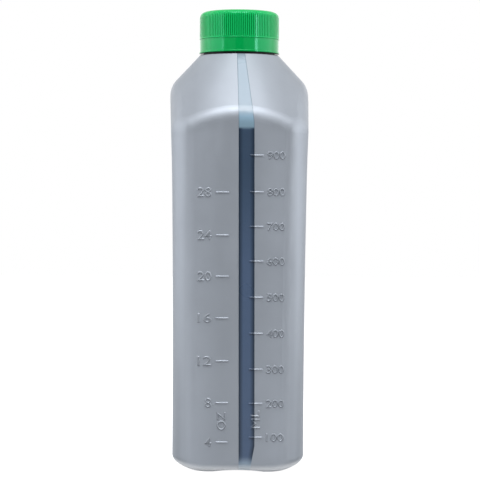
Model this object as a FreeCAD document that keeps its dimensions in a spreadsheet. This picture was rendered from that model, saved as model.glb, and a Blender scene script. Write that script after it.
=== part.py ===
import FreeCAD, Part
import math
import os

import Sketcher

# Quart motor-oil bottle: a blow-moulded body with a view stripe, and a ribbed screw cap
# that sits on a tamper band. Millimetres, +Z up, origin at the middle of the base.
# The narrow side with the view stripe faces -Y and the wide faces look along X.

SIZES = (
    # Blow-moulded body
    ("wall", 1.0, "wall of the body"),
    ("half_width", 48.3, "middle of a narrow face from the axis"),
    ("panel_crown_radius", 300.0, "crown of the narrow faces, seen from above"),
    ("foot_half_depth", 32.05, "wide face from the axis, at the foot"),
    ("foot_height", 30.0, "the wide faces are upright up to here"),
    ("waist_rise", 110.0, "waist, where the flare quickens, above the upright foot"),
    ("waist_flare", 0.93, "gain in half depth from the foot to the waist"),
    ("crest_rise", 60.0, "crest of the flare, past the shoulder's edge, above the waist"),
    ("crest_flare", 2.58, "gain in half depth from the waist to the crest"),
    ("corner_round", 12.0, "upright corners"),
    ("shoulder_round", 11.0, "edge between the shoulder and the faces"),
    ("heel_round", 4.5, "edge between the faces and the base"),
    ("channel_half_width", 12.8, "half width of the pinch-off channel under the base"),
    ("channel_rise", 1.1, "height of the pinch-off channel"),
    ("rail_width", 2.4, "flat rail beside the channel, on which the bottle stands"),
    ("bilge_radius", 28.0, "curve of the base from a rail up towards the wide face"),
    # Shoulder and neck
    ("shoulder_spread", 0.935, "gain in radius for each unit down the shoulder"),
    ("neck_foot_height", 205.6, "height of the top of the shoulder"),
    ("neck_ledge", 2.45, "width of the ledge at the top of the shoulder"),
    ("neck_radius", 17.45, "outside of the neck"),
    ("neck_wall", 1.95, "wall of the neck"),
    ("neck_height", 19.2, "land of the neck above the top of the shoulder"),
    ("neck_foot_wall", 1.4, "wall between the top of the shoulder and the foot of the bore"),
    ("bore_flare", 1.6, "height of the flare from the bore to the inside of the shoulder"),
    ("bead_reach", 1.15, "how far the band's bead stands out from the neck"),
    ("bead_rise", 5.4, "bead's lower edge above the top of the shoulder"),
    ("bead_land", 1.5, "upright length of the bead"),
    ("bead_ramp", 0.6, "height of the ramps above and below the bead"),
    # View stripe, as seen on the narrow face
    ("stripe_left", 0.2, "left edge at the foot of the panel, on the parting line"),
    ("stripe_right", 7.9, "right edge at the foot of the panel"),
    ("stripe_lean", 0.95, "how far both edges have drifted to the left at the arch"),
    ("stripe_heel_right", 5.6, "right edge at the base"),
    ("stripe_heel_height", 13.0, "the stripe is full width from here"),
    ("stripe_arch_drop", 5.2, "the stripe is full width up to this far below the arch"),
    ("stripe_neck_left", 1.4, "left edge on the neck, left of the parting line"),
    ("stripe_neck_right", 2.6, "right edge on the neck"),
    ("stripe_foot_reach", 14.0, "how far the stripe runs in under the base"),
    # Contents and seals
    ("headspace", 38.6, "air between the oil and the top of the shoulder"),
    ("oil_clearance", 0.3, "room between the oil and the wall"),
    ("foil_thick", 0.15, "foil across the land"),
    ("foil_margin", 0.25, "how far the foil stays inside the neck's edge"),
    ("seat_gap", 0.05, "room between pieces that turn or lift off each other"),
    ("wad_thick", 1.0, "board wad in the cap"),
    ("wad_clearance", 0.25, "room between the wad and the cap's bore"),
    # Cap
    ("bore_clearance", 0.25, "room between the cap's bore and the neck's bead"),
    ("cap_wall", 1.2, "skirt of the cap over the ribs, from its bore"),
    ("cap_top_thick", 1.55, "top panel of the cap"),
    ("cap_round", 3.3, "edge of the cap's top"),
    ("cap_skirt", 11.1, "how far the skirt reaches below the land of the neck"),
    ("wad_bead_reach", 0.65, "bead inside the cap that keeps the wad in"),
    ("wad_bead_land", 0.5, "upright length of that bead"),
    ("wad_bead_ramp", 0.4, "height of the ramps above and below it"),
    ("rib_depth", 0.36, "depth of the grooves between ribs"),
    ("rib_groove_width", 0.64, "width of a groove at the skirt"),
    ("rib_count", 120, "ribs round the cap"),
    ("cap_lip", 0.5, "plain lip below the ribs"),
    # Tamper band
    ("band_gap", 0.15, "slit between the cap and the band"),
    ("band_clearance", 0.9, "room between the band and the top of the shoulder"),
    ("band_top_setback", 0.35, "band's top edge inside the cap's radius"),
    ("band_foot_setback", 0.13, "band's foot inside the cap's radius"),
    ("band_lip_reach", 0.15, "lip at the band's foot beyond the cap's radius"),
    ("band_lip_height", 0.9, "height of that lip"),
    ("hook_clearance", 0.35, "room between the band's hook and the neck"),
    ("hook_land", 1.4, "upright length of the hook"),
    ("hook_ramp", 0.8, "height of the ramp above the hook"),
    ("hook_lift", 0.3, "foot of the hook above the band's lower edge"),
    ("bridge_width", 0.9, "width of a break bridge"),
    ("bridge_deep", 0.55, "radial depth of a break bridge"),
    ("bridge_count", 10, "break bridges in the slit"),
)

# How far cutting outlines run past the body.
CUT_PAST = 5.0
# Two places closer than this are the same place.
SAME = 0.01
# An edge is at an upright corner when it lies beyond this share of both half sizes.
CORNER_SHARE = 0.8

doc = FreeCAD.newDocument("oil_bottle")
sheet = doc.addObject("Spreadsheet::Sheet", "Sizes")
for row, (alias, value, note) in enumerate(SIZES, start=1):
    sheet.set(f"A{row}", note)
    sheet.set(f"B{row}", str(value))
    sheet.setAlias(f"B{row}", alias)
doc.recompute()

# Sizes that follow from the ones above.
CREST_HALF_DEPTH = "(<foot_half_depth> + <waist_flare> + <crest_flare>)"
REACH = f"(<half_width> + {CREST_HALF_DEPTH})"
RAIL_EDGE = "(<channel_half_width> + <rail_width>)"
NECK_FOOT_RADIUS = "(<neck_radius> + <neck_ledge>)"
NECK_TOP = "(<neck_foot_height> + <neck_height>)"
NECK_BORE = "(<neck_radius> - <neck_wall>)"
BEAD_RADIUS = "(<neck_radius> + <bead_reach>)"
BEAD_FOOT = "(<neck_foot_height> + <bead_rise>)"
ARCH_HEIGHT = f"(<neck_foot_height> - (<half_width> - {NECK_FOOT_RADIUS}) / <shoulder_spread>)"
OIL_LEVEL = "(<neck_foot_height> - <headspace>)"
CAP_BORE = f"({BEAD_RADIUS} + <bore_clearance>)"
CAP_RADIUS = f"({CAP_BORE} + <cap_wall>)"
CAP_FOOT = f"({NECK_TOP} - <cap_skirt>)"
WAD_FOOT = f"({NECK_TOP} + <foil_thick> + <seat_gap>)"
CAP_CEILING = f"({WAD_FOOT} + <wad_thick> + <seat_gap>)"
CAP_TOP = f"({CAP_CEILING} + <cap_top_thick>)"
BAND_TOP = f"({CAP_FOOT} - <band_gap>)"
BAND_FOOT = "(<neck_foot_height> + <band_clearance>)"


def size(expression):
    """Value of an expression on the sheet's aliases."""
    return float(sheet.evalExpression(bind(expression)))


def bind(expression):
    """The expression with each alias written as a reference to the sheet."""
    return expression.replace("<", "Sizes.").replace(">", "")


def body(label):
    """A new body for a sub-part or for a form that one is cut from."""
    made = doc.addObject("PartDesign::Body", label)
    made.Label = label
    return made


def sketch_on(owner, name, role, lift="0"):
    """A sketch on one of a body's own origin planes, lifted along the plane's normal."""
    sketch = owner.newObject("Sketcher::SketchObject", name)
    plane = next(item for item in owner.Origin.OriginFeatures if item.Role == role)
    sketch.AttachmentSupport = [(plane, "")]
    sketch.MapMode = "FlatFace"
    sketch.setExpression("AttachmentOffset.Base.z", bind(lift))
    return sketch


def tie(sketch, kind, geometry, end, axis, expression):
    """Hold one coordinate of a point, measured from the sketch's origin, to the sheet."""
    constraint = Sketcher.Constraint(kind, -1, 1, geometry, end, size(expression))
    index = sketch.addConstraint(constraint)
    name = f"{axis}_{geometry}_{end}"
    sketch.renameConstraint(index, name)
    sketch.setExpression(f"Constraints.{name}", bind(expression))


def tie_point(sketch, geometry, end, across, up):
    """Hold both coordinates of a point."""
    tie(sketch, "DistanceX", geometry, end, "across", across)
    tie(sketch, "DistanceY", geometry, end, "up", up)


def polygon(sketch, corners):
    """Add a closed outline of straight runs whose corners are pairs of expressions."""
    first = sketch.GeometryCount
    spots = [FreeCAD.Vector(size(across), size(up), 0) for across, up in corners]
    count = len(corners)
    for index in range(count):
        sketch.addGeometry(Part.LineSegment(spots[index], spots[(index + 1) % count]), False)
    for index in range(count):
        following = first + (index + 1) % count
        sketch.addConstraint(Sketcher.Constraint("Coincident", first + index, 2, following, 1))
    for index, (across, up) in enumerate(corners):
        tie_point(sketch, first + index, 1, across, up)


def arc(centre, start, end):
    """Arc that runs anticlockwise round centre from start to end."""
    from_centre = start - centre
    to_centre = end - centre
    begins = math.atan2(from_centre.y, from_centre.x)
    ends = math.atan2(to_centre.y, to_centre.x)
    circle = Part.Circle(centre, FreeCAD.Vector(0, 0, 1), from_centre.Length)
    return Part.ArcOfCircle(circle, begins, ends if ends > begins else ends + 2 * math.pi)


def arc_from_tangent(start, heading, end):
    """Arc that leaves start along heading and ends at end, and the heading that it ends with."""
    left = FreeCAD.Vector(-heading.y, heading.x, 0)
    chord = end - start
    radius = chord.dot(chord) / (2 * chord.dot(left))
    centre = start + left * radius
    turn = 2 * math.atan2(chord.dot(left), chord.dot(heading))
    leaving = heading * math.cos(turn) + left * math.sin(turn)
    made = arc(centre, start, end) if radius > 0 else arc(centre, end, start)
    return made, leaving


def wide_face_cut(sketch, side, inset):
    """Outline of what lies outside one wide face: upright foot, then two tangent arcs."""
    first = sketch.GeometryCount
    sign = "" if side > 0 else "-1 * "
    levels = (
        ("<foot_half_depth>", f"0 - {CUT_PAST}"),
        ("<foot_half_depth>", "<foot_height>"),
        ("<foot_half_depth> + <waist_flare>", "<foot_height> + <waist_rise>"),
        (CREST_HALF_DEPTH, "<foot_height> + <waist_rise> + <crest_rise>"),
    )
    corners = [(f"{sign}({across} - {inset})", up) for across, up in levels]
    outer = f"{sign}({CREST_HALF_DEPTH} + {CUT_PAST})"
    over = f"{NECK_TOP} + {CUT_PAST}"
    corners += [(corners[3][0], over), (outer, over), (outer, corners[0][1])]
    foot, sill, waist, crest, peak, far_top, far_foot = [
        FreeCAD.Vector(size(across), size(up), 0) for across, up in corners
    ]
    lower_arc, leaving = arc_from_tangent(sill, FreeCAD.Vector(0, 1, 0), waist)
    upper_arc, _ = arc_from_tangent(waist, leaving, crest)
    runs = (
        Part.LineSegment(foot, sill),
        lower_arc,
        upper_arc,
        Part.LineSegment(crest, peak),
        Part.LineSegment(peak, far_top),
        Part.LineSegment(far_top, far_foot),
        Part.LineSegment(far_foot, foot),
    )
    for run in runs:
        sketch.addGeometry(run, False)
    # An arc runs anticlockwise in the sketch, so on the right its two ends change places.
    begin, finish = (1, 2) if lower_arc.StartPoint.distanceToPoint(sill) < 0.001 else (2, 1)
    sketch.addConstraint(Sketcher.Constraint("Tangent", first, 2, first + 1, begin))
    sketch.addConstraint(Sketcher.Constraint("Tangent", first + 1, finish, first + 2, begin))
    sketch.addConstraint(Sketcher.Constraint("Coincident", first + 2, finish, first + 3, 1))
    for index in range(3, 6):
        sketch.addConstraint(Sketcher.Constraint("Coincident", first + index, 2, first + index + 1, 1))
    sketch.addConstraint(Sketcher.Constraint("Coincident", first + 6, 2, first, 1))
    tie_point(sketch, first, 1, *corners[0])
    tie_point(sketch, first, 2, *corners[1])
    tie_point(sketch, first + 1, finish, *corners[2])
    for index in range(3, 7):
        tie_point(sketch, first + index, 1, *corners[index])


def plan_outline(sketch, inset):
    """Block seen from above: two flat sides, and two narrow sides that are crowned arcs."""
    reach = f"{CREST_HALF_DEPTH} + {CUT_PAST}"
    radius = f"<panel_crown_radius> - {inset}"
    half_width = f"<half_width> - {inset}"
    half, crown = size(reach), size(radius)
    drop = crown - math.sqrt(crown**2 - half**2)
    edge = size(half_width) - drop
    for side in (1, -1):
        centre = FreeCAD.Vector(0, (size(half_width) - crown) * side, 0)
        start = FreeCAD.Vector(half * side, edge * side, 0)
        end = FreeCAD.Vector(-half * side, edge * side, 0)
        sketch.addGeometry(arc(centre, start, end), False)
    for side in (-1, 1):
        foot = FreeCAD.Vector(half * side, -edge * side, 0)
        sketch.addGeometry(Part.LineSegment(foot, FreeCAD.Vector(half * side, edge * side, 0)), False)
    # Runs 0 and 1 are the arcs at +Y and -Y, 2 and 3 the flat sides at -X and +X.
    for index, (flat_after, flat_before) in enumerate(((2, 3), (3, 2))):
        sketch.addConstraint(Sketcher.Constraint("Coincident", index, 2, flat_after, 1))
        sketch.addConstraint(Sketcher.Constraint("Coincident", index, 1, flat_before, 2))
        sketch.addConstraint(Sketcher.Constraint("PointOnObject", index, 3, -2))
        centre = f"{half_width} - ({radius})"
        tie(sketch, "DistanceY", index, 3, "up", centre if index == 0 else f"-1 * ({centre})")
        held = sketch.addConstraint(Sketcher.Constraint("Radius", index, crown))
        sketch.renameConstraint(held, f"crown_{index}")
        sketch.setExpression(f"Constraints.crown_{index}", bind(radius))
    for index, sign in ((2, "-1 * "), (3, "")):
        for end in (1, 2):
            tie(sketch, "DistanceX", index, end, "across", f"{sign}({reach})")


def cut_outline_of_neck(sketch, inset):
    """What lies outside the shoulder and the neck, to be turned about the axis."""
    # A step of one across the wall shortens a radius of the cone by this much.
    slant = "sqrt(1 + <shoulder_spread> ^ 2)"
    cone_radius = f"({NECK_FOOT_RADIUS} - {inset} * {slant})"
    low = f"<neck_foot_height> - ({REACH} - {cone_radius}) / <shoulder_spread>"
    over = f"{NECK_TOP} + {CUT_PAST}"
    if inset == "0":
        corners = [
            (REACH, low),
            (NECK_FOOT_RADIUS, "<neck_foot_height>"),
            ("<neck_radius>", "<neck_foot_height>"),
            ("<neck_radius>", f"{BEAD_FOOT} - <bead_ramp>"),
            (BEAD_RADIUS, BEAD_FOOT),
            (BEAD_RADIUS, f"{BEAD_FOOT} + <bead_land>"),
            ("<neck_radius>", f"{BEAD_FOOT} + <bead_land> + <bead_ramp>"),
            ("<neck_radius>", over),
            (REACH, over),
        ]
    else:
        mouth = "<neck_foot_height> - <neck_foot_wall>"
        flare_drop = "(<neck_foot_wall> + <bore_flare>)"
        flare_radius = f"{cone_radius} + {flare_drop} * <shoulder_spread>"
        corners = [
            (REACH, low),
            (flare_radius, f"<neck_foot_height> - {flare_drop}"),
            (NECK_BORE, mouth),
            (NECK_BORE, over),
            (REACH, over),
        ]
    polygon(sketch, corners)


def bilge_cut(sketch, side, inset):
    """Outline of what lies under one curved side of the base, out to past the wide face."""
    first = sketch.GeometryCount
    sign = "" if side > 0 else "-1 * "
    bow = f"(<bilge_radius> - {inset})"
    reach = f"(<foot_half_depth> + {CUT_PAST} - {RAIL_EDGE})"
    lift = f"<bilge_radius> - sqrt({bow} ^ 2 - {reach} ^ 2)"
    low = f"0 - {CUT_PAST}"
    corners = [
        (f"{sign}{RAIL_EDGE}", inset),
        (f"{sign}({RAIL_EDGE} + {reach})", lift),
        (f"{sign}({RAIL_EDGE} + {reach})", low),
        (f"{sign}{RAIL_EDGE}", low),
    ]
    rail, rim, rim_foot, rail_foot = [FreeCAD.Vector(size(across), size(up), 0) for across, up in corners]
    centre = FreeCAD.Vector(rail.x, size("<bilge_radius>"), 0)
    sketch.addGeometry(arc(centre, rail, rim) if side > 0 else arc(centre, rim, rail), False)
    sketch.addGeometry(Part.LineSegment(rim, rim_foot), False)
    sketch.addGeometry(Part.LineSegment(rim_foot, rail_foot), False)
    sketch.addGeometry(Part.LineSegment(rail_foot, rail), False)
    begin, finish = (1, 2) if side > 0 else (2, 1)
    sketch.addConstraint(Sketcher.Constraint("Coincident", first, finish, first + 1, 1))
    sketch.addConstraint(Sketcher.Constraint("Coincident", first + 1, 2, first + 2, 1))
    sketch.addConstraint(Sketcher.Constraint("Coincident", first + 2, 2, first + 3, 1))
    sketch.addConstraint(Sketcher.Constraint("Coincident", first + 3, 2, first, begin))
    tie_point(sketch, first, 3, corners[0][0], "<bilge_radius>")
    tie_point(sketch, first, begin, *corners[0])
    tie(sketch, "DistanceX", first, finish, "across", corners[1][0])
    for index in (2, 3):
        tie_point(sketch, first + index, 1, *corners[index])


def edges_named(shape, wanted):
    """Names of the edges of a shape that pass a test."""
    return [f"Edge{index}" for index, edge in enumerate(shape.Edges, start=1) if wanted(edge)]


def fillet(owner, name, base, wanted, radius):
    """Round the chosen edges of a body's feature."""
    doc.recompute()
    made = owner.newObject("PartDesign::Fillet", name)
    made.Base = (base, edges_named(base.Shape, wanted))
    made.setExpression("Radius", bind(radius))
    doc.recompute()
    return made


def vessel(label, inset):
    """The bottle's form, or the same form drawn in by inset: its cavity or its contents."""
    owner = body(label)
    base_height = size(inset)

    plan = sketch_on(owner, f"{label}_plan", "XY_Plane", lift=inset)
    plan_outline(plan, inset)
    block = owner.newObject("PartDesign::Pad", f"{label}_block")
    block.Profile = plan
    overrun = 0 if inset == "0" else CUT_PAST / 2
    block.setExpression("Length", bind(f"{NECK_TOP} - {inset} + {overrun}"))

    front = sketch_on(owner, f"{label}_front", "XZ_Plane")
    wide_face_cut(front, 1, inset)
    wide_face_cut(front, -1, inset)
    trimmed = owner.newObject("PartDesign::Pocket", f"{label}_wide_faces")
    trimmed.Profile = front
    trimmed.Midplane = True
    trimmed.setExpression("Length", bind(f"2 * <half_width> + {CUT_PAST}"))

    under = sketch_on(owner, f"{label}_under", "XZ_Plane")
    bilge_cut(under, 1, inset)
    bilge_cut(under, -1, inset)
    bilge = owner.newObject("PartDesign::Pocket", f"{label}_bilge")
    bilge.Profile = under
    bilge.Midplane = True
    bilge.setExpression("Length", bind(f"2 * <half_width> + {CUT_PAST}"))

    turned = sketch_on(owner, f"{label}_shoulder_cut", "XZ_Plane")
    cut_outline_of_neck(turned, inset)
    shoulder = owner.newObject("PartDesign::Groove", f"{label}_shoulder")
    shoulder.Profile = turned
    shoulder.ReferenceAxis = (turned, ["V_Axis"])
    shoulder.Angle = 360

    def is_corner(edge):
        """An upright edge between a wide face and a narrow one."""
        span = edge.BoundBox
        away = min(abs(span.XMin), abs(span.XMax)) > size("<foot_half_depth>") * CORNER_SHARE
        aside = min(abs(span.YMin), abs(span.YMax)) > size("<half_width>") * CORNER_SHARE
        return away and aside and span.ZLength > max(span.XLength, span.YLength)

    corners = fillet(owner, f"{label}_corners", shoulder, is_corner, f"<corner_round> - {inset}")

    def is_shoulder_edge(edge):
        """An edge round the lower end of the shoulder's cone."""
        on_cone = [
            face for face in corners.Shape.Faces
            if isinstance(face.Surface, Part.Cone)
            and face.BoundBox.XLength > 2 * size(BEAD_RADIUS)
            and any(edge.isSame(own) for own in face.Edges)
        ]
        below_neck = edge.BoundBox.ZMax < size("<neck_foot_height> - <bore_flare> - <neck_foot_wall>")
        straight = isinstance(edge.Curve, Part.Line)
        return bool(on_cone) and below_neck and not straight

    edge_round = f"<shoulder_round> - {inset}"
    rounded = fillet(owner, f"{label}_shoulder_round", corners, is_shoulder_edge, edge_round)

    def is_base(face):
        """The flat of the base or one of its curved sides."""
        if isinstance(face.Surface, Part.Plane):
            return face.BoundBox.ZMax < base_height + SAME
        bow = size(f"<bilge_radius> - {inset}")
        return isinstance(face.Surface, Part.Cylinder) and abs(face.Surface.Radius - bow) < SAME

    def is_heel(edge):
        """An edge between the base and a face of the body."""
        sharing = [face for face in rounded.Shape.Faces if any(edge.isSame(own) for own in face.Edges)]
        return len(sharing) == 2 and is_base(sharing[0]) != is_base(sharing[1])

    heel = fillet(owner, f"{label}_heel", rounded, is_heel, f"<heel_round> - {inset}")

    channel_sketch = sketch_on(owner, f"{label}_channel_end", "XZ_Plane")
    bow = "(<channel_half_width> ^ 2 + <channel_rise> ^ 2) / (2 * <channel_rise>)"
    left = FreeCAD.Vector(size("-1 * <channel_half_width>"), base_height, 0)
    right = FreeCAD.Vector(size("<channel_half_width>"), base_height, 0)
    centre = FreeCAD.Vector(0, base_height + size(f"<channel_rise> - {bow}"), 0)
    channel_sketch.addGeometry(arc(centre, right, left), False)
    channel_sketch.addGeometry(Part.LineSegment(left, right), False)
    channel_sketch.addConstraint(Sketcher.Constraint("Coincident", 0, 2, 1, 1))
    channel_sketch.addConstraint(Sketcher.Constraint("Coincident", 0, 1, 1, 2))
    tie_point(channel_sketch, 1, 1, "-1 * <channel_half_width>", inset)
    tie_point(channel_sketch, 1, 2, "<channel_half_width>", inset)
    held = channel_sketch.addConstraint(Sketcher.Constraint("Radius", 0, size(bow)))
    channel_sketch.renameConstraint(held, "bow")
    channel_sketch.setExpression("Constraints.bow", bind(bow))
    channel = owner.newObject("PartDesign::Pocket", f"{label}_channel")
    channel.Profile = channel_sketch
    channel.Midplane = True
    channel.setExpression("Length", bind(f"2 * <half_width> + {CUT_PAST}"))
    doc.recompute()
    if channel.Shape.Volume >= heel.Shape.Volume:
        raise RuntimeError(f"{label}: the pinch-off channel cuts nothing")
    return owner


def boolean(kind, label, base, tool):
    """Cut, Fuse or Common of two objects."""
    made = doc.addObject(f"Part::{kind}", label)
    made.Label = label
    made.Base = base
    made.Tool = tool
    return made


def box(label, lengths, corner):
    """A box whose lengths and lowest corner are expressions."""
    made = doc.addObject("Part::Box", label)
    for name, expression in zip(("Length", "Width", "Height"), lengths):
        made.setExpression(name, bind(expression))
    for axis, expression in zip("xyz", corner):
        made.setExpression(f"Placement.Base.{axis}", bind(expression))
    return made


def disc(label, radius, thick, foot):
    """A round disc on the axis."""
    made = doc.addObject("Part::Cylinder", label)
    made.Label = label
    made.setExpression("Radius", bind(radius))
    made.setExpression("Height", bind(thick))
    made.setExpression("Placement.Base.z", bind(foot))
    return made


def turned_body(label, corners):
    """A body made by turning an outline, given from the axis outwards, about Z."""
    owner = body(label)
    sketch = sketch_on(owner, f"{label}_outline", "XZ_Plane")
    polygon(sketch, corners)
    turned = owner.newObject("PartDesign::Revolution", f"{label}_turned")
    turned.Profile = sketch
    turned.ReferenceAxis = (sketch, ["V_Axis"])
    turned.Angle = 360
    doc.recompute()
    return owner, turned


def stripe_form():
    """Everything behind the stripe's outline on the narrow face, apart from the base's middle."""
    owner = body("stripe_form")
    sketch = sketch_on(owner, "stripe_outline", "XZ_Plane")
    neck_left = "-1 * <stripe_neck_left>"
    over = f"{NECK_TOP} + {CUT_PAST}"
    arch = f"{ARCH_HEIGHT} - <stripe_arch_drop>"
    corners = (
        ("<stripe_left>", f"0 - {CUT_PAST}"),
        ("<stripe_heel_right>", f"0 - {CUT_PAST}"),
        ("<stripe_heel_right>", "0"),
        ("<stripe_right>", "<stripe_heel_height>"),
        ("<stripe_right> - <stripe_lean>", arch),
        ("<stripe_neck_right>", "<neck_foot_height>"),
        ("<stripe_neck_right>", over),
        (neck_left, over),
        (neck_left, "<neck_foot_height>"),
        ("<stripe_left> - <stripe_lean>", arch),
        ("<stripe_left>", "<stripe_heel_height>"),
    )
    polygon(sketch, corners)
    run = owner.newObject("PartDesign::Pad", "stripe_run")
    run.Profile = sketch
    run.setExpression("Length", bind(f"<half_width> + {CUT_PAST}"))
    doc.recompute()
    if run.Shape.BoundBox.YMin > 0:
        raise RuntimeError("the stripe runs to the wrong side")
    inner = box(
        "stripe_base_limit",
        (REACH, f"<half_width> - <stripe_foot_reach> + {CUT_PAST}", f"<stripe_heel_height> + {CUT_PAST}"),
        (f"-0.5 * {REACH}", "<stripe_foot_reach> - <half_width>", f"0 - {CUT_PAST}"),
    )
    return boolean("Cut", "stripe_field", owner, inner)


# Body of the bottle, its stripe and its contents
wall_form = boolean("Cut", "wall_form", vessel("vessel", "0"), vessel("cavity", "<wall>"))
stripe_field = stripe_form()
bottle_body = boolean("Cut", "bottle_body", wall_form, stripe_field)
view_stripe = boolean("Common", "view_stripe", wall_form, stripe_field)
below_level = box(
    "below_level",
    (f"2 * {REACH}", f"2 * {REACH}", OIL_LEVEL),
    (f"-1 * {REACH}", f"-1 * {REACH}", "0"),
)
oil_form = vessel("oil_form", "(<wall> + <oil_clearance>)")
oil_fill = boolean("Common", "oil_fill", oil_form, below_level)

# Foil on the land of the neck, and the board wad in the cap above it
foil_seal = disc("foil_seal", "<neck_radius> - <foil_margin>", "<foil_thick>", NECK_TOP)
liner_wad = disc("liner_wad", f"{CAP_BORE} - <wad_clearance>", "<wad_thick>", WAD_FOOT)

# Cap: a cup with a bead that keeps the wad in, and a groove repeated round the skirt
bead_top = f"({WAD_FOOT} - <seat_gap>)"
bead_inside = f"{CAP_BORE} - <wad_bead_reach>"
screw_cap, cap_turned = turned_body(
    "screw_cap",
    (
        ("0", CAP_CEILING),
        (CAP_BORE, CAP_CEILING),
        (CAP_BORE, bead_top),
        (bead_inside, f"{bead_top} - <wad_bead_ramp>"),
        (bead_inside, f"{bead_top} - <wad_bead_ramp> - <wad_bead_land>"),
        (CAP_BORE, f"{bead_top} - 2 * <wad_bead_ramp> - <wad_bead_land>"),
        (CAP_BORE, CAP_FOOT),
        (CAP_RADIUS, CAP_FOOT),
        (CAP_RADIUS, CAP_TOP),
        ("0", CAP_TOP),
    ),
)


def is_cap_rim(edge):
    """The outer edge of the cap's top."""
    edge_box = edge.BoundBox
    at_top = abs(edge_box.ZMin - size(CAP_TOP)) < SAME
    return at_top and edge_box.XLength > 2 * size(CAP_BORE)


cap_rounded = fillet(screw_cap, "cap_round_edge", cap_turned, is_cap_rim, "<cap_round>")
groove_end = sketch_on(screw_cap, "rib_groove_end", "XY_Plane", lift=f"{CAP_FOOT} + <cap_lip>")
# The groove is a V whose mouth is at the skirt; its outline runs on past the skirt by one depth.
polygon(
    groove_end,
    (
        (f"{CAP_RADIUS} - <rib_depth>", "0"),
        (f"{CAP_RADIUS} + <rib_depth>", "-1 * <rib_groove_width>"),
        (f"{CAP_RADIUS} + <rib_depth>", "<rib_groove_width>"),
    ),
)
rib_groove = screw_cap.newObject("PartDesign::Pocket", "rib_groove")
rib_groove.Profile = groove_end
rib_groove.Reversed = True
rib_groove.setExpression("Length", bind(f"{CAP_TOP} - {CAP_FOOT} - <cap_lip> - <cap_round>"))
doc.recompute()
if rib_groove.Shape.Volume >= cap_rounded.Shape.Volume:
    raise RuntimeError("the groove between ribs cuts nothing")
ribs = screw_cap.newObject("PartDesign::PolarPattern", "ribs")
ribs.Originals = [rib_groove]
ribs.Axis = (groove_end, ["N_Axis"])
ribs.Angle = 360
ribs.setExpression("Occurrences", bind("<rib_count>"))
screw_cap.Tip = ribs

# Tamper band: a ring whose hook catches under the neck's bead, tied to the cap by bridges
hook = "<neck_radius> + <hook_clearance>"
hook_foot = f"({BAND_FOOT} + <hook_lift>)"
lip_radius = f"{CAP_RADIUS} + <band_lip_reach>"
lip_top = f"{BAND_FOOT} + <band_lip_height>"
tamper_band, _ = turned_body(
    "tamper_band",
    (
        (CAP_BORE, BAND_TOP),
        (CAP_BORE, f"{hook_foot} + <hook_land> + <hook_ramp>"),
        (hook, f"{hook_foot} + <hook_land>"),
        (hook, hook_foot),
        (f"{hook} + <hook_lift>", BAND_FOOT),
        (lip_radius, BAND_FOOT),
        (lip_radius, f"{lip_top} - <band_lip_reach>"),
        (f"{CAP_RADIUS} - <band_foot_setback>", lip_top),
        (f"{CAP_RADIUS} - <band_top_setback>", BAND_TOP),
    ),
)

bridges = []
for index in range(int(size("<bridge_count>"))):
    bridge = box(
        f"bridge_{index + 1}",
        ("<bridge_deep>", "<bridge_width>", "<band_gap> - <seat_gap>"),
        ("0", "0", BAND_TOP),
    )
    turn = f"{index} * 360 / <bridge_count>"
    near = f"{CAP_BORE} + (<cap_wall> - <band_top_setback> - <bridge_deep>) / 2"
    bridge.Placement.Rotation = FreeCAD.Rotation(FreeCAD.Vector(0, 0, 1), 0)
    bridge.setExpression("Placement.Rotation.Angle", bind(turn))
    half_wide = "<bridge_width> / 2"
    spot = (
        f"({near}) * cos({turn}) + {half_wide} * sin({turn})",
        f"({near}) * sin({turn}) - {half_wide} * cos({turn})",
    )
    bridge.setExpression("Placement.Base.x", bind(spot[0]))
    bridge.setExpression("Placement.Base.y", bind(spot[1]))
    bridges.append(bridge)
break_bridges = doc.addObject("Part::Compound", "break_bridges")
break_bridges.Label = "break_bridges"
break_bridges.Links = bridges

NODES = (
    bottle_body,
    view_stripe,
    oil_fill,
    foil_seal,
    liner_wad,
    screw_cap,
    tamper_band,
    break_bridges,
)

doc.recompute()
for item in doc.Objects:
    if "Invalid" in item.State or "Error" in item.State:
        raise RuntimeError(f"{item.Label} did not build: {item.State}")
for node in NODES:
    if node.Shape.isNull() or not node.Shape.isValid():
        raise RuntimeError(f"{node.Label} has no valid shape")

os.makedirs("parts", exist_ok=True)
for node in NODES:
    node.Shape.exportStep(f"parts/{node.Label}.step")
    print(node.Label, len(node.Shape.Solids), "solids", round(node.Shape.Volume), "mm3", node.Shape.BoundBox)
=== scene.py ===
import logging
import math
from dataclasses import dataclass
from enum import Enum

import bmesh
import bpy
from mathutils import Matrix, Vector


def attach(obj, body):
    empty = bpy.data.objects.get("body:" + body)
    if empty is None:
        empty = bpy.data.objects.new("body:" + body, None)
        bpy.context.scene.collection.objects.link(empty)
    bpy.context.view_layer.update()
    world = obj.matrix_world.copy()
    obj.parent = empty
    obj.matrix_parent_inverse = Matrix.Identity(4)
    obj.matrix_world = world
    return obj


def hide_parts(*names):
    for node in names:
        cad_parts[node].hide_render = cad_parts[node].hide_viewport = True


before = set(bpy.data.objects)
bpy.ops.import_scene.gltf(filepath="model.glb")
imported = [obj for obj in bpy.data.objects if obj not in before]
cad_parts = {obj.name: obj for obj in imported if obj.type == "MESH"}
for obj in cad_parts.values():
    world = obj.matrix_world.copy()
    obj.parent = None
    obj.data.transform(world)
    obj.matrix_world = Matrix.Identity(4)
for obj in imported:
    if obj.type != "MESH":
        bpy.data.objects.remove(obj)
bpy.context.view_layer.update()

logging.basicConfig(level=logging.INFO, format="%(message)s")
log = logging.getLogger("oil_bottle")

BMesh = bmesh.types.BMesh
Material = bpy.types.Material
Socket = bpy.types.NodeSocket
Pair = tuple[float, float]
Pairs = tuple[Pair, ...]
Triple = tuple[float, float, float]
Colour = Triple

# Sizes are in millimetres, and this turns them into metres.
MM = 0.001
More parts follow.
